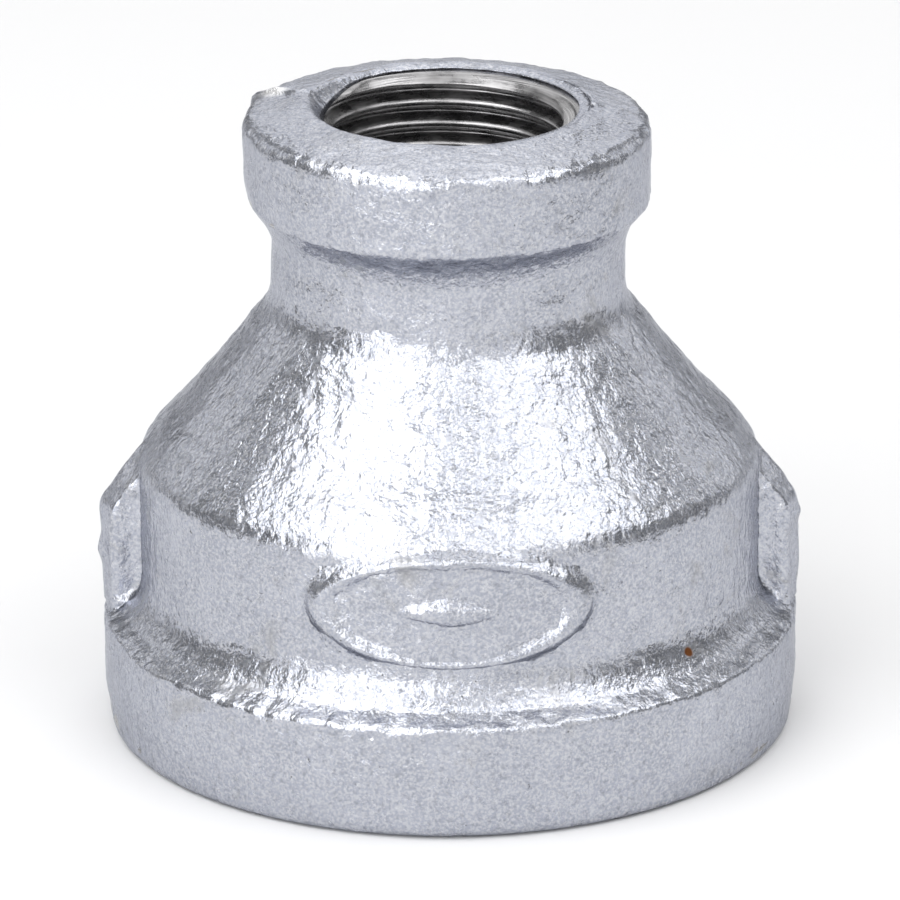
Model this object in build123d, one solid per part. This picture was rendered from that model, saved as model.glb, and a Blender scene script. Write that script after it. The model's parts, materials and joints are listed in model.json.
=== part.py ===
from build123d import *
from build123d.topology import SkipClean
import math
import os

# Concentric reducer, 1 1/4 x 1/2: a banded, internally threaded reducing coupling
# (bell reducer) of malleable cast iron, hot-dip galvanised and then tapped.
#
# Frame: origin at the centre of the large end face, +Z along the bore towards the small
# end, the cast oval pad on the -Y side and the two side ribs on the X axis. Millimetres.
#
# Three solids: the iron casting, the zinc skin on its outside, and the zinc skin on the
# cored waterway between the two threads. The taps and the mouth chamfers cut through the
# zinc, which is why the skin is two separate pieces and the threads are bare iron.

os.makedirs("parts", exist_ok=True)

# ---------------------------------------------------------------- driving dimensions
overall_length = 52.3       # from the large end face to the small end's rim, along Z
zinc = 0.10                 # thickness of the hot-dip coating

band_radius = 28.5          # reinforcing band round the large end
band_height = 9.4
wall_radius = 25.4          # body wall above the band
crease_height = 22.85       # where the wall turns into the cone
neck_radius = 14.4
cone_top_height = 36.05
collar_radius = 16.45       # reinforcing band round the small end
collar_lower_edge = 44.6
collar_upper_edge = 51.15   # the small end face falls from its rim to this height
rim_radius = 11.7           # flat ring left round the small mouth
collar_underside_drop = 2.25
ledge_angle = 30.0          # slope of the big band's upper shoulder, degrees

base_edge_radius = 1.2
band_edge_radius = 0.6
shoulder_radius = 3.9
crease_radius = 2.9
neck_blend_radius = 3.9
underside_blend_radius = 2.4
collar_lower_edge_radius = 1.0
collar_top_edge_radius = 1.2
rim_edge_radius = 0.4

# Parallel pipe threads, 55 degree form: (minor radius, major radius, pitch, wall length)
small_minor_radius, small_major_radius, small_pitch = 9.3155, 10.4775, 1.814
large_minor_radius, large_major_radius, large_pitch = 19.476, 20.955, 2.309
small_thread_length = 12.0
large_thread_length = 18.0
mouth_clearance = 0.22      # the mouth chamfers open this much wider than the threads
small_mouth_radius = small_major_radius + mouth_clearance
large_mouth_radius = large_major_radius + mouth_clearance
crest_flat_share = 0.25     # flat left on each thread crest, as a share of the pitch
flank_angle = 27.5
groove_overlap = 0.3        # the groove's section starts this far inside the bore's radius
groove_runout = 0.4         # and the groove this far past the thread's end

# Cored waterway between the threads
small_core_radius = 10.7
large_core_radius = 21.4
core_draft = 0.1            # taper of the core's large end, on the radius
core_cone_slope = 1.42      # rise over run: the wall thickens towards the large end
ring_wall = 0.85            # tapped metal taken with each thread, outside the core's radius
cutter_overrun = 3          # thread pitches that each cutter runs past the metal

# Side ribs, one each side, on the parting plane
rib_half_width = 2.95
rib_outer_radius = 28.65
rib_foot_height = 7.8
rib_shoulder_height = 18.9
rib_top_height = 23.8
rib_top_radius = 24.85
rib_root_radius = 22.0
rib_corner_radius = 2.5
rib_top_corner_radius = 0.5
rib_draft = 18.0            # degrees, away from the parting plane

# Blank oval pad on the front of the wall
pad_height = 18.2           # of its centre
pad_half_width, pad_half_height = 10.5, 4.8
pad_relief = 0.9
pad_rim_width = 0.85
dish_relief = 0.3
button_half_width, button_half_height = 4.7, 1.1
button_relief = 0.75
pad_bevel = 20.0            # degrees
pad_root_depth = 4.4        # the pad starts this far inside the wall's radius
pad_clearance = 2.0         # and is trimmed from a prism that ends this far outside it

# ---------------------------------------------------------------- derived heights
underside_foot = collar_lower_edge - collar_underside_drop
ledge_top = band_height + (band_radius - wall_radius) * math.tan(math.radians(ledge_angle))
small_bore_end = overall_length - (small_mouth_radius - small_minor_radius) - small_thread_length
small_core_start = small_bore_end - (small_core_radius - small_minor_radius)
large_bore_end = (large_mouth_radius - large_minor_radius) + large_thread_length
large_core_start = large_bore_end + (large_core_radius - large_minor_radius)
core_cone_run = large_core_radius - core_draft - small_core_radius
core_cone_base = small_core_start - core_cone_slope * core_cone_run
# Radial growth that gives the coating its full thickness across the cored cone
core_zinc = zinc * math.hypot(1, core_cone_slope) / core_cone_slope

far = 2 * overall_length    # more than the part's reach in any direction from its axis
rising = (Align.CENTER, Align.CENTER, Align.MIN)


# ---------------------------------------------------------------- outer form
def body_of_revolution(inset):
    """The turned outer shape, filled to the axis and shrunk by inset all over."""
    corners = [
        (0, 0),
        (band_radius, 0),
        (band_radius, band_height),
        (wall_radius, ledge_top),
        (wall_radius, crease_height),
        (neck_radius, cone_top_height),
        (neck_radius, underside_foot),
        (collar_radius, collar_lower_edge),
        (collar_radius, collar_upper_edge),
        (rim_radius, overall_length),
        (0, overall_length),
    ]
    radii = [
        base_edge_radius,
        band_edge_radius,
        shoulder_radius,
        crease_radius,
        neck_blend_radius,
        underside_blend_radius,
        collar_lower_edge_radius,
        collar_top_edge_radius,
        rim_edge_radius,
    ]
    with BuildPart() as turned:
        with BuildSketch(Plane.XZ):
            with BuildLine():
                FilletPolyline(*corners, radius=radii)
                Line(corners[-1], corners[0])
            make_face()
            if inset > 0:
                offset(amount=-inset, kind=Kind.INTERSECTION)
                with Locations((inset, overall_length / 2)):
                    Rectangle(2 * inset, overall_length - 2 * inset)
                split(bisect_by=Plane.YZ, keep=Keep.TOP)
        revolve(axis=Axis.Z)
    return turned.part


def rib(inset):
    """The rib on the +X side: a plate on the parting plane, drafted both ways."""
    outer = rib_outer_radius - inset
    outline = [
        (rib_root_radius, rib_foot_height),
        (outer, rib_foot_height),
        (outer, rib_shoulder_height - inset),
        (rib_top_radius, rib_top_height - inset),
        (rib_root_radius, rib_top_height - inset),
    ]
    with BuildPart() as plate:
        with BuildSketch(Plane.XZ):
            with BuildLine():
                FilletPolyline(*outline, radius=[0, rib_corner_radius, rib_top_corner_radius])
                Line(outline[-1], outline[0])
            make_face()
        extrude(amount=rib_half_width - inset, both=True, taper=rib_draft)
    return plate.part


def oval_boss(half_width, half_height, bevel):
    """An oval prism along -Y, of the given size where it crosses the wall's radius.

    It narrows outwards where bevel is positive and widens where it is negative.
    """
    widening = pad_root_depth * math.tan(math.radians(bevel))
    with BuildPart() as boss:
        with BuildSketch(Plane.XZ.offset(wall_radius - pad_root_depth)):
            with Locations((0, pad_height)):
                Ellipse(half_width + widening, half_height + widening)
        extrude(amount=pad_root_depth + pad_clearance, taper=bevel)
    return boss.part


def upright_cylinder(radius):
    return Pos(0, 0, overall_length / 2) * Cylinder(radius, overall_length)


def oval_pad(inset):
    """The blank maker's pad: a raised rim, a dished floor and a plain oval button."""
    plate = oval_boss(pad_half_width - inset, pad_half_height - inset, pad_bevel)
    plate = plate & upright_cylinder(wall_radius + pad_relief - inset)
    dish = oval_boss(
        pad_half_width - pad_rim_width + inset,
        pad_half_height - pad_rim_width + inset,
        -pad_bevel,
    )
    dish = dish - upright_cylinder(wall_radius + dish_relief - inset)
    button = oval_boss(button_half_width - inset, button_half_height - inset, pad_bevel)
    button = button & upright_cylinder(wall_radius + button_relief - inset)
    return plate - dish + button


def outer_form(inset):
    """Everything the coating covers, as one filled solid."""
    right_rib = rib(inset)
    left_rib = Rot(0, 0, 180) * right_rib
    return body_of_revolution(inset) + right_rib + left_rib + oval_pad(inset)


# ---------------------------------------------------------------- waterway
def cored_chamber(growth):
    """The unmachined chamber between the two threads, grown by a radius."""
    outline = [
        (0, large_core_start),
        (large_core_radius + growth, large_core_start),
        (large_core_radius - core_draft + growth, core_cone_base),
        (small_core_radius + growth, small_core_start),
        (0, small_core_start),
    ]
    with BuildPart() as chamber:
        with BuildSketch(Plane.XZ):
            with BuildLine():
                Polyline(*outline, close=True)
            make_face()
        revolve(axis=Axis.Z)
    return chamber.part


def thread_groove(minor_radius, major_radius, pitch, start, end):
    """A right-hand helical groove with 55 degree flanks, from height start to end."""
    slope = math.tan(math.radians(flank_angle))
    inner_radius = minor_radius - groove_overlap
    half_crest_gap = pitch * (1 - crest_flat_share) / 2
    half_inner = half_crest_gap + (minor_radius - inner_radius) * slope
    half_root = half_crest_gap - (major_radius - minor_radius) * slope
    path = Helix(pitch, end - start, minor_radius, center=(0, 0, start))
    with BuildSketch(Plane.XZ) as section:
        with BuildLine():
            Polyline(
                (inner_radius, start - half_inner),
                (major_radius, start - half_root),
                (major_radius, start + half_root),
                (inner_radius, start + half_inner),
                close=True,
            )
        make_face()
    return sweep(section.sketch, path=path, is_frenet=True)


def threaded_ring(minor_radius, major_radius, pitch, mouth_radius, core_radius, length):
    """The tapped metal of one socket, mouth upwards with its end face at height 0.

    The plain bore is cut first, then the groove, then the 45 degree mouth chamfer and the
    45 degree relief where the thread runs out into the cored chamber.
    """
    over = cutter_overrun * pitch
    bore_top = minor_radius - mouth_radius
    ring_end = bore_top - length - (core_radius - minor_radius)
    groove = thread_groove(minor_radius, major_radius, pitch, ring_end - groove_runout, pitch)
    with BuildPart() as blank:
        with BuildSketch(Plane.XY.offset(ring_end - over)):
            Circle(core_radius + ring_wall)
            Circle(minor_radius, mode=Mode.SUBTRACT)
        extrude(amount=2 * over - ring_end)
    chamfer_height = mouth_radius - minor_radius + 2 * over
    mouth = Cone(minor_radius - over, mouth_radius + over, chamfer_height, align=rising)
    relief_height = core_radius - minor_radius + 2 * over
    relief = Cone(core_radius + over, minor_radius - over, relief_height, align=rising)
    height_kept = Cylinder(far, -zinc - ring_end, align=rising)
    with SkipClean():
        ring = blank.part - groove
        ring = ring - Pos(0, 0, bore_top - over) * mouth
        ring = ring - Pos(0, 0, ring_end - over) * relief
        ring = ring & Pos(0, 0, ring_end) * height_kept
        return in_quarters(ring)


def in_quarters(ring):
    """The same solid with its round faces divided into quarter turns."""
    wedge = Box(far, far, 2 * far, align=(Align.MIN, Align.MIN, Align.CENTER))
    quarters = [ring & (Rot(0, 0, 90 * turn) * wedge) for turn in range(4)]
    whole = quarters[0]
    for quarter in quarters[1:]:
        whole = whole + quarter
    return whole


# ---------------------------------------------------------------- the three pieces
def iron_casting():
    small_ring = threaded_ring(
        small_minor_radius,
        small_major_radius,
        small_pitch,
        small_mouth_radius,
        small_core_radius,
        small_thread_length,
    )
    large_ring = threaded_ring(
        large_minor_radius,
        large_major_radius,
        large_pitch,
        large_mouth_radius,
        large_core_radius,
        large_thread_length,
    )
    small_seat = Cylinder(small_core_radius + ring_wall, overall_length, align=rising)
    large_seat = Cylinder(large_core_radius + ring_wall, large_core_start, align=rising)
    casting = outer_form(zinc) - cored_chamber(core_zinc)
    casting = casting - Pos(0, 0, small_core_start) * small_seat - large_seat
    with SkipClean():
        casting = casting + Pos(0, 0, overall_length) * small_ring
        casting = casting + Rot(180, 0, 0) * large_ring
    return casting


def zinc_outside():
    """The outer skin, cut back to bare iron by the two mouth chamfers."""
    skin = outer_form(0) - outer_form(zinc)
    cut = rim_radius - small_mouth_radius
    small_mouth = Cone(small_mouth_radius - cut, small_mouth_radius + cut, 2 * cut)
    large_mouth = Cone(large_mouth_radius + cut, large_mouth_radius - cut, 2 * cut)
    return skin - Pos(0, 0, overall_length) * small_mouth - large_mouth


def zinc_waterway():
    return cored_chamber(core_zinc) - cored_chamber(0)


pieces = {
    "iron_casting": iron_casting(),
    "zinc_coating_outside": zinc_outside(),
    "zinc_coating_waterway": zinc_waterway(),
}
for name, piece in pieces.items():
    solids = piece.solids()
    print(name, "solids", len(solids), "volume", round(sum(s.volume for s in solids), 2))
    export_step(Compound(children=solids), f"parts/{name}.step")
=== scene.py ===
import json
import math

import bpy
import numpy as np
from mathutils import Matrix, Vector, noise
from mathutils.bvhtree import BVHTree


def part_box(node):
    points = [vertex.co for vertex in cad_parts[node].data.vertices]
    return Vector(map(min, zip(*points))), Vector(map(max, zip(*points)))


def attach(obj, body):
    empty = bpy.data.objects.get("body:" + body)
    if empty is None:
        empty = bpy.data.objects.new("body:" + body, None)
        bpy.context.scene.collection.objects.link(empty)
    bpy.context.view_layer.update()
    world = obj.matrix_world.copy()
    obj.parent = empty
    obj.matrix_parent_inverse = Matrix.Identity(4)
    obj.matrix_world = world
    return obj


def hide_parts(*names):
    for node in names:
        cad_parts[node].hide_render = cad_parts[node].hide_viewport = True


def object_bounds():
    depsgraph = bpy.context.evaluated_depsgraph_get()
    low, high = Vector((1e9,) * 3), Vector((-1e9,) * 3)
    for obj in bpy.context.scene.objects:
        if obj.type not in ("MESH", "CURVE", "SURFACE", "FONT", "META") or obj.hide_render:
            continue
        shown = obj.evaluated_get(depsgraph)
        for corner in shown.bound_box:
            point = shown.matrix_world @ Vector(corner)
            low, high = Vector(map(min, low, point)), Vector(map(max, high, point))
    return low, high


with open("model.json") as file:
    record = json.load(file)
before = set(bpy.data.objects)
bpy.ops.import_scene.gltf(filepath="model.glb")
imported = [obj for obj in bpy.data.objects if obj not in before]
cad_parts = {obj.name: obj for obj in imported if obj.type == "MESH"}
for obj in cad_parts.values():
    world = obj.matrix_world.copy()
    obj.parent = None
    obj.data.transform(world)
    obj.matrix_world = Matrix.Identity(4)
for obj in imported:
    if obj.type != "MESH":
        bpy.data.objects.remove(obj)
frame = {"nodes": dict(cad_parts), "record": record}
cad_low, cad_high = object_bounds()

# Concentric reducer: a galvanised malleable iron coupling, seen from its front.
# Three pieces stand for the three CAD nodes: the cast and tapped iron body, the zinc skin
# round its outside, and the zinc skin of the cored waterway. Lengths here are millimetres
# until a mesh is made, and heights run up from the large end face.
MM = 0.001

# ---------------------------------------------------------------- sizes
overall_length = cad_high.z / MM
band_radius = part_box("zinc_coating_outside")[1].y / MM
sockets = {m["name"]: m["dims"] for m in frame["record"]["mounts"]}

band_height = 9.4
wall_radius = 25.4
crease_height = 22.85
neck_radius = 14.4
cone_top_height = 36.05
collar_radius = 16.45
collar_lower_edge = 44.6
collar_upper_edge = 51.15
rim_radius = 11.7
underside_drop = 2.25
underside_foot = collar_lower_edge - underside_drop
ledge_angle = 30            # slope of the big band's upper shoulder, degrees
ledge_top = band_height + (band_radius - wall_radius) * math.tan(math.radians(ledge_angle))
rib_half_width = 2.95
rib_top = 20.6              # where the ribs' outer corners are

small_minor, small_length = sockets["small_socket"]["r_mm"], sockets["small_socket"]["length_mm"]
large_minor, large_length = sockets["large_socket"]["r_mm"], sockets["large_socket"]["length_mm"]
small_major, small_pitch = 10.4775, 1.814
large_major, large_pitch = 20.955, 2.309
mouth_clearance = 0.22      # the mouth chamfers open this much wider than the threads
small_mouth, large_mouth = small_major + mouth_clearance, large_major + mouth_clearance
crest_flat_share = 0.25     # flat left on each thread crest, as a share of the pitch
flank_angle = 27.5
small_bore_top = overall_length - (small_mouth - small_minor)
small_bore_end = small_bore_top - small_length
large_bore_start = large_mouth - large_minor
large_bore_end = large_bore_start + large_length
small_core, large_core, core_draft = 10.7, 21.4, 0.1
core_cone_slope = 1.42      # rise over run
small_core_start = small_bore_end - (small_core - small_minor)
large_core_start = large_bore_end + (large_core - large_minor)
core_cone_base = small_core_start - core_cone_slope * (large_core - core_draft - small_core)

groove_runout = 0.4         # the thread grooves start this far inside the cored chamber
recess_gap = 0.2            # bare iron lies this far under the zinc of the cast lead-in
core_gap = 0.25             # and this far behind the zinc of the waterway
thread_margin = 0.2         # the grooves keep this far from the waterway's ends
iron_margin = 0.12          # the bare bore starts this far from each end face
zinc = 0.10
iron_depth = 3.2 * zinc     # the iron's own surface lies this deep under the zinc's
end_drop = 0.34             # how much lower the small end face is on the right of the axis
mould_step = 0.16           # the two mould halves met this much out of step
pit_depth = 0.16

# Azimuths, in degrees round +Z from +X
front = -90.0               # of the pad
parting_line = 164.5        # of the parting line on the left of the small end face
rib_azimuths = (0.0, 180.0)

outside_columns = 470       # of the zinc skin's mesh
back_rows = 30              # of its hidden side
lead_in_roughness = 0.35    # relief of the cast lead-in, as a share of the rest


# ---------------------------------------------------------------- small helpers
def smoothstep(low, high, x):
    t = np.clip((x - low) / (high - low), 0.0, 1.0)
    return t * t * (3 - 2 * t)


def bell(x, width):
    return np.exp(-(x / width) ** 2)


def turn_between(angle, centre):
    """Signed angle from centre to angle, in degrees, between -180 and 180."""
    return (angle - centre + 180.0) % 360.0 - 180.0


def rounded_outline(corners, radii, spacing):
    """Points along straight runs joined by tangent arcs, at most spacing[i] apart on run i.

    radii has one entry for each inner corner, and each arc has at least four steps.
    """
    corners = [Vector(c) for c in corners]
    points = []
    run_start = corners[0]
    for i in range(1, len(corners)):
        here = corners[i]
        last = i == len(corners) - 1
        if last:
            run_end, arc = here, []
        else:
            before = (corners[i - 1] - here).normalized()
            after = (corners[i + 1] - here).normalized()
            half = before.angle(after) / 2
            run_end = here + before * (radii[i - 1] / math.tan(half))
            arc_end = here + after * (radii[i - 1] / math.tan(half))
            centre = here + (before + after).normalized() * (radii[i - 1] / math.sin(half))
            steps = max(4, math.ceil(radii[i - 1] * (math.pi - 2 * half) / spacing[i - 1]))
            first = run_end - centre
            total = first.angle_signed(arc_end - centre)
            arc = [centre + Matrix.Rotation(-total * k / steps, 2) @ first for k in range(1, steps)]
        count = max(1, math.ceil((run_end - run_start).length / spacing[i - 1]))
        points += [run_start.lerp(run_end, k / count) for k in range(count)]
        if last:
            points.append(here)
        else:
            points += [run_end] + arc
            run_start = arc_end
    return np.array([tuple(p) for p in points])


def columns(count, extra_density):
    """Azimuths in degrees, closer together where extra_density(azimuth) is large.

    They are picked among hundredths of a degree.
    """
    fine = np.linspace(-180.0, 180.0, 36001)
    density = 1.0 + extra_density(fine)
    total = np.concatenate([[0.0], np.cumsum((density[1:] + density[:-1]) / 2)])
    wanted = np.arange(count) * total[-1] / count
    return np.interp(wanted, total, fine)


def as_points(radius, height, azimuth):
    angle = np.radians(azimuth)
    return np.stack([radius * np.cos(angle), radius * np.sin(angle), height + 0 * radius], axis=-1)


def grid_normals(points):
    """Unit normals of a grid whose columns close round and whose rows close too."""
    along = np.roll(points, -1, axis=0) - np.roll(points, 1, axis=0)
    around = np.roll(points, -1, axis=1) - np.roll(points, 1, axis=1)
    normals = np.cross(around, along)
    lengths = np.linalg.norm(normals, axis=-1, keepdims=True)
    return normals / np.maximum(lengths, 1e-9)


def noise_field(points, size, octaves=2, stretch=(1.0, 1.0, 1.0), seed=0.0):
    """Smooth noise, about -1 to 1, with features of the given size in millimetres."""
    scaled = points / (size * np.array(stretch)) + seed
    flat = scaled.reshape(-1, 3)
    values = np.fromiter(
        (noise.fractal(p, 1.0, 2.0, octaves, noise_basis="PERLIN_NEW") for p in flat.tolist()),
        dtype=float,
        count=len(flat),
    )
    return values.reshape(points.shape[:-1])


def closed_grid_object(name, points, slot, *nodes):
    """A piece from a grid that closes both ways, so its surface is one closed skin."""
    rows, cols = points.shape[:2]
    index = np.arange(rows * cols).reshape(rows, cols)
    right = np.roll(index, -1, axis=1)
    up = np.roll(index, -1, axis=0)
    up_right = np.roll(up, -1, axis=1)
    quads = np.stack([index, right, up_right, up], axis=-1).reshape(-1, 4)
    mesh = bpy.data.meshes.new(name)
    mesh.from_pydata((points.reshape(-1, 3) * MM).tolist(), [], quads.tolist())
    mesh.shade_smooth()
    mesh.update()
    piece = bpy.data.objects.new(name, mesh)
    bpy.context.collection.objects.link(piece)
    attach(piece, "root")
    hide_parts(*nodes)
    return piece


# ---------------------------------------------------------------- the cast outside
def cast_outline(fineness):
    """The turned outline from the large mouth, up the outside, to the small end's rim."""
    step = [s / fineness for s in (1.1, 0.5, 0.4, 0.3, 0.36, 0.4, 0.4, 0.36, 0.36)]
    corners = [
        (large_mouth + zinc, 0),
        (band_radius, 0),
        (band_radius, band_height),
        (wall_radius, ledge_top),
        (wall_radius, crease_height),
        (neck_radius, cone_top_height),
        (neck_radius, underside_foot),
        (collar_radius, collar_lower_edge),
        (collar_radius, collar_upper_edge),
        (rim_radius, overall_length),
    ]
    radii = [1.2, 0.7, 3.9, 2.9, 3.9, 4.5, 0.8, 1.2]
    return rounded_outline(corners, radii, step)


def column_density(azimuth):
    """Extra columns on the ribs' flanks and across the pad."""
    flank = math.degrees(math.asin(rib_half_width / wall_radius))
    extra = 0.35 * smoothstep(32.0, 20.0, np.abs(turn_between(azimuth, front)))
    for rib in rib_azimuths:
        off = np.abs(turn_between(azimuth, rib))
        extra = extra + 4.0 * bell(off - flank, 0.9)
    return extra


def surface_under_rays(node, azimuth, heights):
    """Radius at which rays from outside meet a CAD node, 0 where they miss."""
    mesh = frame["nodes"][node].data
    tree = BVHTree.FromPolygons(
        [v.co for v in mesh.vertices], [tuple(p.vertices) for p in mesh.polygons]
    )
    start = 1.5 * band_radius
    found = np.zeros((len(heights), len(azimuth)))
    for j, angle in enumerate(np.radians(azimuth)):
        outward = Vector((math.cos(angle), math.sin(angle), 0.0))
        for i, height in enumerate(heights):
            origin = outward * (start * MM) + Vector((0.0, 0.0, height * MM))
            hit = tree.ray_cast(origin, -outward)
            if hit[0] is not None:
                found[i, j] = start - hit[3] / MM
    return found


def lead_in(azimuth):
    """The cast lead-in of the small mouth: its outer and inner radius, and its depth.

    It is shallow nearly all round and deep on the left, where the core print sat low.
    """
    left = smoothstep(62.0, 18.0, np.abs(turn_between(azimuth, 188.0)))
    right = smoothstep(60.0, 20.0, np.abs(turn_between(azimuth, 8.0)))
    wander = 0.08 * np.sin(np.radians(azimuth * 5)) + 0.05 * np.sin(np.radians(azimuth * 13 + 40))
    outer = 11.2 + 0.1 * left + 0.3 * right + wander
    inner = 10.42 - 0.47 * left + 0.3 * wander
    depth = 0.30 + 0.95 * left + 0.15 * right
    return outer, inner, depth


# Lumps, nibs and nuggets of the casting: azimuth, distance from the axis, height, then
# their half size across (round the axis), outwards and up, and how far they stand out.
castings_marks = [
    # the parting line's flash across the small end face
    (162.5, 14.4, 52.0, 0.60, 1.6, 3.0, 0.62),
    (166.0, 12.6, 52.2, 0.30, 1.3, 3.0, 0.20),
    (163.0, 16.0, 51.2, 0.45, 0.5, 0.8, 0.22),
    (2.0, 11.9, 52.3, 0.28, 0.45, 3.0, 0.24),
    (3.0, 14.3, 51.9, 0.22, 0.9, 3.0, 0.12),
    # nodule on the front of the collar
    (-94.5, 16.4, 50.3, 0.75, 2.0, 0.50, 0.38),
    (-87.0, 16.3, 50.9, 1.3, 2.0, 0.35, 0.14),
    # ends of the ribs' flanks
    (-173.6, 26.4, 20.3, 0.8, 0.7, 0.45, 0.20),
    (-173.7, 26.7, 10.6, 0.8, 1.0, 0.35, 0.24),
    (-6.4, 26.4, 19.8, 0.8, 0.8, 0.60, 0.22),
    (-6.3, 26.7, 10.4, 0.8, 1.0, 0.35, 0.24),
    # flash nibs on the ribs' outer edges
    (180.0, 28.6, 14.3, 0.8, 1.5, 1.0, 0.38),
    (180.0, 28.6, 17.8, 0.8, 1.5, 2.0, 0.15),
    (0.0, 28.6, 17.2, 0.8, 1.5, 0.5, 0.26),
    (0.0, 28.6, 13.4, 0.9, 1.5, 2.2, 0.22),
    # a bead on the neck and one under the collar
    (-52.0, 14.6, 39.2, 0.9, 2.0, 0.5, 0.16),
    (-120.0, 14.5, 41.6, 0.6, 2.0, 0.4, 0.14),
]

# Sharp little pits where the zinc did not take: azimuth, height, half size across and up
bare_pits = [
    (-143.5, 36.4, 0.34, 0.75),
    (-135.0, 38.6, 0.30, 0.22),
    (-64.0, 39.4, 0.16, 0.40),
    (-95.5, 13.6, 0.20, 0.20),
    (-93.8, 11.2, 0.16, 0.14),
    (-119.0, 13.6, 0.18, 0.14),
    (-62.0, 47.6, 0.16, 0.12),
    (-112.0, 49.0, 0.14, 0.12),
    (-75.0, 4.6, 0.16, 0.16),
    (-104.0, 6.9, 0.14, 0.18),
    (38.0, 30.0, 0.30, 0.5),
    (120.0, 16.5, 0.25, 0.3),
    (95.0, 40.5, 0.22, 0.3),
]


def end_tilt(points):
    """How far the small end face hangs down: it is a little lower on the right."""
    top = smoothstep(overall_length - 2.5, overall_length - 0.5, points[..., 2])
    return end_drop * top * points[..., 0] / collar_radius


def skin_noise(points, radius, height):
    """Lumps and ripples of the cast skin, stronger along the bands' edges."""
    relief = 0.085 * noise_field(points, 3.4, 2, (1, 1, 1.2), 11.3)
    relief += 0.060 * noise_field(points, 1.25, 2, (1, 1, 1.35), 4.7)
    edge = 0.8 * bell(height - collar_lower_edge, 0.6) * (radius > neck_radius + 1)
    edge += 1.5 * bell(height - band_height, 0.8) * (radius > wall_radius + 1.5)
    edge += bell(height - collar_upper_edge, 1.0) * bell(radius - collar_radius, 1.2)
    relief += 0.15 * edge * noise_field(points, 1.4, 3, (1, 1, 1), 8.1)
    return relief


def wear_down(relief, points, radius, height):
    """Take off relief where the casting is leaner or more worn than its plain shape."""
    # the collar's lower edge and the neck, a little leaner on the left
    left = smoothstep(-0.35, -0.95, points[..., 0] / radius)
    relief -= 0.30 * left * bell(height - collar_lower_edge, 1.3)
    relief -= 0.22 * left * bell(height - 41.0, 1.8)
    # the middle of the cone, slightly hollow, and the big band, which leans in at its foot
    relief -= 0.20 * smoothstep(25.0, 27.5, height) * smoothstep(34.5, 31.5, height)
    side = np.abs(points[..., 0] / radius)
    relief -= 0.35 * side * smoothstep(4.5, 0.8, height) * (radius > wall_radius)
    # the ribs' upper corners, worn round
    relief -= 0.35 * bell(height - rib_top, 1.3) * smoothstep(27.2, 28.4, radius)


def bead_rib_flanks(relief, points, radius, height):
    """Frame the ribs' flanks by a bead along their outer edge and a hollow inside it."""
    flank = bell(np.abs(points[..., 1]) - rib_half_width, 0.4) * smoothstep(9.5, 11.0, height)
    flank = flank * smoothstep(20.5, 19.0, height) * (radius > wall_radius + 0.4)
    relief += flank * (0.14 * bell(radius - 27.5, 0.4) - 0.14 * bell(radius - 26.5, 0.45))


def behind_parting_line(azimuth, radius):
    """1 on the end face just behind the parting line on its left, where the mould stepped."""
    past = smoothstep(-0.5, 0.5, turn_between(parting_line, azimuth) * radius * math.pi / 180)
    return past * smoothstep(120.0, 20.0, np.abs(turn_between(azimuth, parting_line)))


def add_marks(relief, azimuth, radius, height, wave):
    for angle, out, up, across, outwards, upwards, height_of in castings_marks:
        aside = turn_between(azimuth, angle) * radius * math.pi / 180
        shape = bell(aside, across) * bell(radius - out, outwards) * bell(height - up, upwards)
        relief += height_of * shape * (1 + 0.25 * wave)
    for angle, up, across, upwards in bare_pits:
        aside = turn_between(azimuth, angle) * radius * math.pi / 180
        relief -= pit_depth * bell(aside, across) * bell(height - up, upwards)


def cast_relief(points, azimuth):
    """How far the cast and dipped surface stands off the plain shape, in millimetres."""
    radius = np.hypot(points[..., 0], points[..., 1])
    height = points[..., 2]
    relief = skin_noise(points, radius, height)
    wear_down(relief, points, radius, height)
    cone = smoothstep(crease_height - 1, crease_height + 2, height)
    cone = cone * smoothstep(cone_top_height + 1, cone_top_height - 2, height)
    relief += 0.045 * cone * noise_field(points, 0.8, 2, (1, 1, 1.3), 21.0)
    top = smoothstep(overall_length - 2.5, overall_length - 0.5, height)
    wave = noise_field(points, 2.6, 3, (1, 1, 1), 2.2)
    relief += 0.07 * top * wave
    relief -= end_tilt(points)
    bead_rib_flanks(relief, points, radius, height)
    relief -= mould_step * top * behind_parting_line(azimuth, radius)
    add_marks(relief, azimuth, radius, height, wave)
    return relief


def shrunk(extra):
    """The lowest of each value and its eight neighbours."""
    wide = np.minimum(extra, np.minimum(np.roll(extra, 1, axis=1), np.roll(extra, -1, axis=1)))
    padded = np.pad(wide, ((1, 1), (0, 0)))
    return np.minimum(wide, np.minimum(padded[:-2], padded[2:]))


def outside_grid(azimuth, fineness=1.0, under=False):
    """The plain outside, with the ribs and the pad read off the CAD node.

    With under, the ribs and the pad are drawn in, so that nothing pokes through the zinc.
    """
    outline = cast_outline(fineness)
    radius = np.repeat(outline[:, :1], len(azimuth), axis=1)
    height = np.repeat(outline[:, 1:], len(azimuth), axis=1)
    heights = outline[:, 1]
    raised = (heights > band_height + 0.3) & (heights < crease_height + 4)
    raised = raised & (outline[:, 0] > neck_radius + 2)
    found = surface_under_rays("zinc_coating_outside", azimuth, heights[raised])
    extra = np.zeros_like(radius)
    extra[raised] = np.maximum(found - radius[raised], 0.0)
    if under:
        extra = shrunk(extra)
    extra = (np.roll(extra, 1, axis=1) + 2 * extra + np.roll(extra, -1, axis=1)) / 4
    padded = np.pad(extra, ((1, 1), (0, 0)), mode="edge")
    extra = (padded[:-2] + 2 * extra + padded[2:]) / 4
    return radius + extra, height


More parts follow.
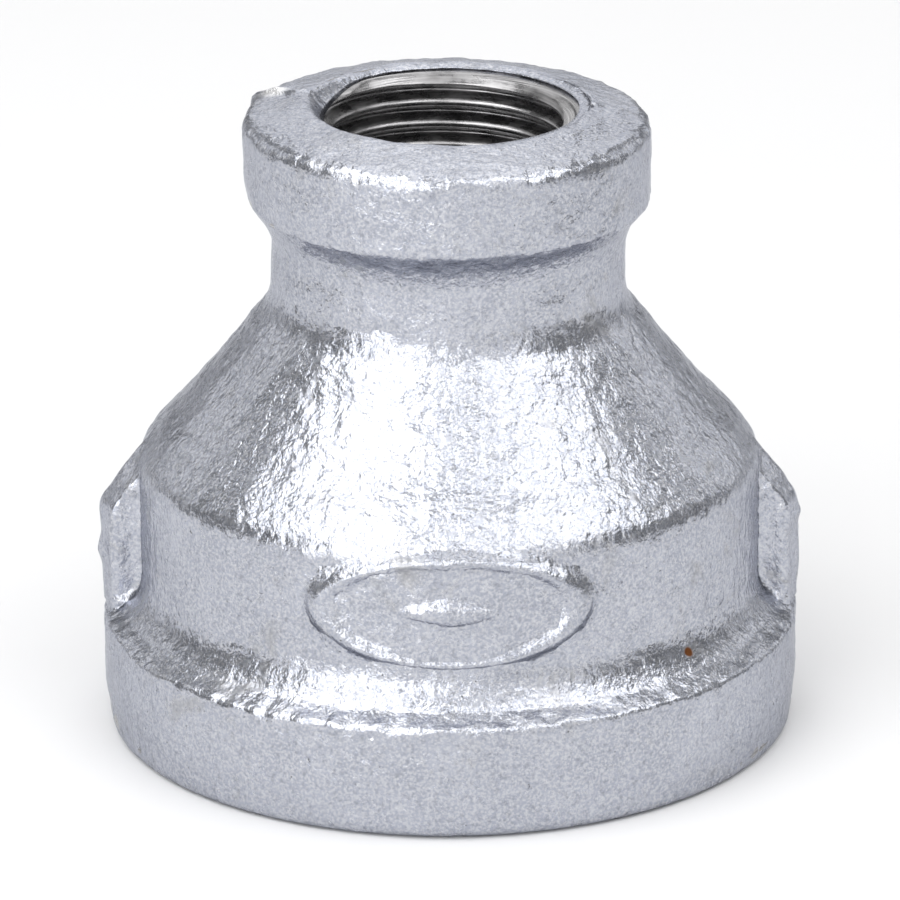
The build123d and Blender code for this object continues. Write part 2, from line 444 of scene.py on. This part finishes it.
def end_rows(azimuth, steps):
    """Rows from the rim across the small end face, then down the cast lead-in to bare metal."""
    outer, inner, depth = lead_in(azimuth)
    radius = [rim_radius + (outer - rim_radius) * t for t in steps]
    radius += [outer + (inner - outer) * t for t in steps]
    height = [np.full_like(azimuth, overall_length)] * len(steps)
    height += [overall_length - depth * t for t in steps]
    return radius, height


def zinc_skin():
    azimuth = columns(outside_columns, column_density)
    radius, height = outside_grid(azimuth)
    steps = np.linspace(0, 1, 5)[1:]
    end_radius, end_height = end_rows(azimuth, steps)
    radius = np.vstack([radius, end_radius])
    height = np.vstack([height, end_height])
    points = as_points(radius, height, azimuth)
    normals = grid_normals(points)
    relief = cast_relief(points, azimuth)
    # the cast lead-in is smoother than the rest
    bevel = slice(-len(steps), None)
    tilt = end_tilt(points[bevel])
    relief[bevel] = lead_in_roughness * (relief[bevel] + tilt) - tilt
    # the relief dies out at the cut edges and on the face that the part stands on
    relief[0] = 0
    relief[-1] = -zinc / 2 - end_tilt(points)[-1]
    resting = smoothstep(0.9, 0.1, height)
    relief = relief * (1 - 0.85 * resting) - 0.02 * resting
    shown = points + normals * relief[..., None]
    shown[..., 2] = np.maximum(shown[..., 2], 0.0)
    # the back of the skin, coarser and a little deeper than the zinc, to stay clear of it
    keep = np.unique(np.linspace(1, len(shown) - 2, back_rows).astype(int))
    back = (shown - normals * (zinc + 0.03))[keep][::-1]
    return closed_grid_object(
        "zinc_skin", np.concatenate([shown, back]), "galvanised_zinc", "zinc_coating_outside"
    )


# ---------------------------------------------------------------- the tapped iron
def groove_radius(height, azimuth, minor, major, pitch, phase_height):
    """Radius of a right-hand 55 degree thread with softened crests and roots."""
    slope = 1 / math.tan(math.radians(flank_angle))
    half_gap = (1 - crest_flat_share) / 2 * pitch
    turned = height - phase_height - pitch * azimuth / 360.0
    total = 0.0
    taps = np.linspace(-0.075, 0.075, 5) * pitch
    for tap in taps:
        along = np.abs((turned + tap + pitch / 2) % pitch - pitch / 2)
        total = total + np.clip(minor + (half_gap - along) * slope, minor, major)
    return total / len(taps)


def bore_rows():
    """Heights of the rows of the way through, from the small mouth down to the large one."""
    small_rows = np.arange(overall_length - iron_margin, small_core_start, -small_pitch / 20)
    core_rows = np.linspace(small_core_start, large_core_start, 24)[:-1]
    large_rows = np.arange(large_core_start, iron_margin, -large_pitch / 14)
    return np.concatenate([small_rows, core_rows, large_rows, [iron_margin]])


def plain_bore(heights):
    """Radius of the way through without its grooves."""
    stations = [
        (0.0, large_mouth),
        (large_bore_start, large_minor),
        (large_bore_end, large_minor),
        (large_core_start, large_core),
        (core_cone_base, large_core - core_draft),
        (small_core_start, small_core),
        (small_bore_end, small_minor),
        (small_bore_top, small_minor),
        (overall_length, small_mouth),
    ]
    levels, radii = zip(*stations)
    return np.interp(heights, levels, radii)


def grooved(through, at, azimuth):
    """The bore with its two threads, and with the cored part kept behind its zinc."""
    small_phase = small_core_start - groove_runout
    large_phase = large_core_start + groove_runout
    small_groove = groove_radius(at, azimuth, small_minor, small_major, small_pitch, small_phase)
    large_groove = groove_radius(at, azimuth, large_minor, large_major, large_pitch, large_phase)
    in_small = at > small_core_start + thread_margin
    in_large = at < large_core_start - thread_margin
    through = np.where(in_small, np.maximum(through, small_groove), through)
    through = np.where(in_large, np.maximum(through, large_groove), through)
    in_core = ~in_small & ~in_large
    return through + core_gap * in_core


def way_through(azimuth):
    """The bare inside of the iron, opened out under the zinc of the small lead-in."""
    heights = bore_rows()
    through = np.repeat(plain_bore(heights)[:, None], len(azimuth), axis=1)
    at = np.repeat(heights[:, None], len(azimuth), axis=1)
    through = grooved(through, at, azimuth)
    outer, inner, depth = lead_in(azimuth)
    down = overall_length - at
    recess = outer + (inner - outer) * (down - recess_gap) / depth
    recess = np.minimum(recess, inner - 3 * (down - recess_gap - depth))
    through = np.maximum(through, recess)
    inside = as_points(through, at, azimuth)
    chatter = 0.012 * noise_field(inside, 0.9, 2, (1, 1, 1), 5.0)[..., None]
    return inside + chatter * (inside * [1, 1, 0]) / 10


def iron_body():
    cols = 256
    azimuth = -180.0 + 360.0 * np.arange(cols) / cols
    # the outside under the zinc, with its ribs and pad, from the large mouth up
    radius, height = outside_grid(azimuth, 0.45, under=True)
    points = as_points(radius, height, azimuth)
    hidden = points - grid_normals(points) * iron_depth
    outer = lead_in(azimuth)[0]
    hidden[0] = as_points(np.full(cols, large_mouth + 0.4), np.full(cols, iron_depth), azimuth)
    hidden[-1] = as_points(outer + 0.3, np.full(cols, overall_length - iron_depth), azimuth)
    skin = np.concatenate([hidden, way_through(azimuth)])
    skin[..., 2] -= end_tilt(skin)
    return closed_grid_object("iron_body", skin, "bare_iron", "iron_casting")


def waterway_skin():
    cols = 200
    azimuth = -180.0 + 360.0 * np.arange(cols) / cols
    outline = rounded_outline(
        [
            (large_core, large_core_start),
            (large_core - core_draft, core_cone_base),
            (small_core, small_core_start),
        ],
        [1.2],
        [0.4, 0.45],
    )[::-1]
    radius = np.repeat(outline[:, :1], len(azimuth), axis=1)
    height = np.repeat(outline[:, 1:], len(azimuth), axis=1)
    points = as_points(radius, height, azimuth)
    rough = 0.10 * noise_field(points, 3.0, 3, (1, 1, 1), 31.0)
    rough += 0.05 * noise_field(points, 1.0, 2, (1, 1, 1), 17.0)
    shown = as_points(radius + rough, height, azimuth)
    back = as_points(radius + 2 * zinc, height, azimuth)[::-3]
    return closed_grid_object(
        "waterway_skin", np.concatenate([shown, back]), "galvanised_zinc", "zinc_coating_waterway"
    )


# ---------------------------------------------------------------- materials
class Nodes:
    """A few words for building a node material."""

    def __init__(self, name):
        self.material = bpy.data.materials.new(name)
        self.material.use_nodes = True
        self.tree = self.material.node_tree
        self.shader = self.tree.nodes["Principled BSDF"]
        self.place = self.tree.nodes.new("ShaderNodeTexCoord").outputs["Object"]

    def link(self, source, target):
        self.tree.links.new(source, target)

    def mapped(self, scale):
        node = self.tree.nodes.new("ShaderNodeMapping")
        node.inputs["Scale"].default_value = scale
        self.link(self.place, node.inputs["Vector"])
        return node.outputs["Vector"]

    def noise(self, size, detail=3.0, roughness=0.55, vector=None, distortion=0.0):
        """Noise with features of a size in millimetres."""
        node = self.tree.nodes.new("ShaderNodeTexNoise")
        node.inputs["Scale"].default_value = 1 / (size * MM)
        node.inputs["Detail"].default_value = detail
        node.inputs["Roughness"].default_value = roughness
        node.inputs["Distortion"].default_value = distortion
        self.link(vector or self.place, node.inputs["Vector"])
        return node.outputs["Fac"]

    def cells(self, size, vector=None):
        """Smoothed distance to the nearest of scattered points."""
        node = self.tree.nodes.new("ShaderNodeTexVoronoi")
        node.feature = "SMOOTH_F1"
        node.inputs["Scale"].default_value = 1 / (size * MM)
        node.inputs["Smoothness"].default_value = 0.6
        self.link(vector or self.place, node.inputs["Vector"])
        return node.outputs["Distance"]

    def between(self, value, low, high, to_low=0.0, to_high=1.0):
        node = self.tree.nodes.new("ShaderNodeMapRange")
        node.interpolation_type = "SMOOTHSTEP"
        self.link(value, node.inputs["Value"])
        node.inputs["From Min"].default_value = low
        node.inputs["From Max"].default_value = high
        node.inputs["To Min"].default_value = to_low
        node.inputs["To Max"].default_value = to_high
        return node.outputs["Result"]

    def maths(self, operation, first, second):
        node = self.tree.nodes.new("ShaderNodeMath")
        node.operation = operation
        for socket, value in zip(node.inputs, (first, second)):
            if isinstance(value, (int, float)):
                socket.default_value = value
            else:
                self.link(value, socket)
        return node.outputs["Value"]

    def mix(self, factor, first, second):
        node = self.tree.nodes.new("ShaderNodeMix")
        node.data_type = "RGBA"
        self.link(factor, node.inputs["Factor"])
        colour_sockets = [s for s in node.inputs if s.type == "RGBA"]
        for socket, value in zip(colour_sockets, (first, second)):
            if isinstance(value, tuple):
                socket.default_value = (*value, 1.0)
            else:
                self.link(value, socket)
        return [s for s in node.outputs if s.type == "RGBA"][0]

    def bump(self, height, distance, before=None):
        """A bump that stands out by a distance in millimetres, over an earlier one."""
        node = self.tree.nodes.new("ShaderNodeBump")
        node.inputs["Strength"].default_value = 1.0
        node.inputs["Distance"].default_value = distance * MM
        self.link(height, node.inputs["Height"])
        if before is not None:
            self.link(before, node.inputs["Normal"])
        return node.outputs["Normal"]

    def near(self, point, inner, outer):
        """1 within inner millimetres of a point, 0 beyond outer."""
        node = self.tree.nodes.new("ShaderNodeVectorMath")
        node.operation = "DISTANCE"
        self.link(self.place, node.inputs[0])
        node.inputs[1].default_value = Vector(point) * MM
        return self.between(node.outputs["Value"], inner * MM, outer * MM, 1.0, 0.0)


def zinc_material(name):
    """Hot-dip zinc: pale lilac grey, orange-peel lumps, fine grain, dark pits and stains.

    One rust speck sits on the big band's shoulder, and a near-white spot on the parting line's
    flash is a painted highlight.
    """
    m = Nodes(name)
    patches = m.between(m.noise(4.5, 4.0, 0.6), 0.35, 0.65)
    colour = m.mix(patches, (0.362, 0.381, 0.438), (0.424, 0.443, 0.503))
    grain = m.between(m.noise(0.24, 3.0, 0.65), 0.38, 0.66)
    colour = m.mix(grain, colour, (0.565, 0.573, 0.608))
    shade = m.between(m.noise(0.40, 3.0, 0.6), 0.50, 0.72, 0.0, 0.60)
    colour = m.mix(shade, colour, (0.25, 0.262, 0.30))
    stains = m.between(m.noise(6.0, 5.0, 0.65, distortion=0.6), 0.56, 0.74, 0.0, 0.40)
    colour = m.mix(stains, colour, (0.33, 0.32, 0.30))
    pits = m.between(m.noise(0.60, 3.0, 0.6), 0.72, 0.76)
    colour = m.mix(pits, colour, (0.12, 0.118, 0.115))
    rust_angle = math.radians(front + 47.5)
    rust_radius, rust_height = 25.7, 11.5
    rust_at = (rust_radius * math.cos(rust_angle), rust_radius * math.sin(rust_angle), rust_height)
    rust = m.near(rust_at, 0.36, 0.60)
    colour = m.mix(rust, colour, (0.16, 0.060, 0.020))
    # painted highlight: a near-white spot on the parting line's flash stands in for a glint of
    # light
    glint_on_flash = (-13.9, 4.2, 52.4)
    painted_glint = m.near(glint_on_flash, 0.7, 1.6)
    colour = m.mix(painted_glint, colour, (0.95, 0.95, 0.95))
    m.link(colour, m.shader.inputs["Base Color"])
    m.shader.inputs["Metallic"].default_value = 0.94
    m.shader.inputs["Specular Tint"].default_value = (0.74, 0.75, 0.79, 1.0)
    rough = m.between(m.noise(1.4, 4.0, 0.6), 0.3, 0.7, 0.17, 0.29)
    rough = m.maths("ADD", rough, m.maths("MULTIPLY", stains, 0.3))
    rough = m.maths("ADD", rough, m.maths("MULTIPLY", rust, 0.4))
    m.link(rough, m.shader.inputs["Roughness"])
    sloping = m.mapped((1.0, 1.0, 0.8))
    normal = m.bump(m.noise(0.80, 2.0, 0.5, sloping), 0.11)
    normal = m.bump(m.noise(0.38, 2.0, 0.5, sloping), 0.075, normal)
    normal = m.bump(m.cells(1.0, sloping), 0.045, normal)
    normal = m.bump(m.noise(0.16, 3.0, 0.6), 0.020, normal)
    normal = m.bump(m.maths("SUBTRACT", 1.0, pits), 0.05, normal)
    m.link(normal, m.shader.inputs["Normal"])
    return m.material


def iron_material(name):
    """Freshly tapped iron: dark, shiny, with tool lines that run round the bore."""
    m = Nodes(name)
    lines = m.noise(0.9, 3.0, 0.6, m.mapped((0.10, 0.10, 12.0)))
    smears = m.noise(1.2, 4.0, 0.6, m.mapped((0.5, 0.5, 1.6)))
    colour = m.mix(m.between(smears, 0.35, 0.65), (0.17, 0.168, 0.172), (0.36, 0.355, 0.36))
    colour = m.mix(m.between(lines, 0.4, 0.7), colour, (0.47, 0.465, 0.47))
    m.link(colour, m.shader.inputs["Base Color"])
    m.shader.inputs["Metallic"].default_value = 1.0
    m.link(m.between(smears, 0.3, 0.7, 0.20, 0.36), m.shader.inputs["Roughness"])
    normal = m.bump(lines, 0.012)
    normal = m.bump(m.noise(0.3, 3.0, 0.6), 0.012, normal)
    m.link(normal, m.shader.inputs["Normal"])
    return m.material


def floor_material():
    m = Nodes("pale_floor")
    m.shader.inputs["Base Color"].default_value = (0.77, 0.77, 0.775, 1.0)
    m.shader.inputs["Roughness"].default_value = 0.9
    return m.material


# ---------------------------------------------------------------- camera, floor and light
middle_height = 0.0246      # of the point that the camera and the lights look at, metres
camera_distance = 0.5871
camera_elevation = 20.03    # degrees
camera_roll = -0.406


def on_sphere(azimuth, elevation, distance):
    """A point seen from the part's middle; azimuth 0 is in front of it, 90 to the right."""
    a, e = math.radians(azimuth), math.radians(elevation)
    direction = Vector((math.sin(a) * math.cos(e), -math.cos(a) * math.cos(e), math.sin(e)))
    return Vector((0.0, 0.0, middle_height)) + direction * distance


def looking(eye, target, roll=0.0):
    aimed = (target - eye).to_track_quat("-Z", "Y").to_matrix().to_4x4()
    return Matrix.Translation(eye) @ aimed @ Matrix.Rotation(roll, 4, "Z")


def add_camera():
    data = bpy.data.cameras.new("camera")
    data.lens = 287.15
    data.sensor_width = 36.0
    data.shift_x = 0.0012
    data.shift_y = -0.026
    data.clip_start = 0.05
    data.clip_end = 20.0
    camera = bpy.data.objects.new("camera", data)
    bpy.context.collection.objects.link(camera)
    target = on_sphere(0, 0, 0)
    eye = on_sphere(0, camera_elevation, camera_distance)
    camera.matrix_world = looking(eye, target, math.radians(camera_roll))
    bpy.context.scene.camera = camera


def add_softbox(name, azimuth, elevation, distance, width, height, radiance):
    data = bpy.data.lights.new(name, "AREA")
    data.shape = "RECTANGLE"
    data.size = width
    data.size_y = height
    data.energy = radiance * math.pi * width * height
    box = bpy.data.objects.new(name, data)
    bpy.context.collection.objects.link(box)
    target = on_sphere(0, 0, 0)
    box.matrix_world = looking(on_sphere(azimuth, elevation, distance), target)
    box.visible_camera = False


def add_floor():
    sides, reach = 96, 2.5
    ring = [
        (reach * math.cos(math.tau * k / sides), reach * math.sin(math.tau * k / sides), 0.0)
        for k in range(sides)
    ]
    mesh = bpy.data.meshes.new("floor")
    mesh.from_pydata(ring, [], [list(range(sides))])
    floor = bpy.data.objects.new("floor", mesh)
    bpy.context.collection.objects.link(floor)
    floor.data.materials.append(floor_material())


def add_world():
    world = bpy.data.worlds.new("studio")
    world.use_nodes = True
    background = world.node_tree.nodes["Background"]
    background.inputs["Color"].default_value = (1.0, 1.0, 1.0, 1.0)
    background.inputs["Strength"].default_value = 0.24
    bpy.context.scene.world = world


def add_lights():
    """Softboxes: azimuth, elevation, distance, width, height, and radiance of the face."""
    add_world()
    add_softbox("front", 0, 56, 0.60, 0.28, 0.30, 1.05)
    add_softbox("left", -53, 53, 0.60, 0.56, 0.34, 3.25)
    add_softbox("right", 60, 50, 0.60, 0.60, 0.32, 2.45)
    add_softbox("low_front", -30, 17, 0.60, 0.60, 0.34, 2.7)
    add_softbox("low_right", 28, 18, 0.60, 0.55, 0.36, 0.95)
    add_softbox("rear", 180, 31, 0.60, 0.42, 0.60, 0.95)
    add_softbox("rear_left", -128, 20, 0.60, 0.30, 0.30, 0.9)
    add_softbox("rear_right", 128, 20, 0.60, 0.30, 0.30, 1.0)
    add_softbox("overhead", 180, 76, 0.60, 0.60, 0.45, 1.35)


# ---------------------------------------------------------------- the scene
skin = zinc_skin()
body = iron_body()
waterway = waterway_skin()
skin.data.materials.append(zinc_material("hot_dip_zinc"))
waterway.data.materials.append(zinc_material("waterway_zinc"))
body.data.materials.append(iron_material("tapped_iron"))
add_floor()
add_camera()
add_lights()
bpy.context.scene.view_settings.view_transform = "Standard"
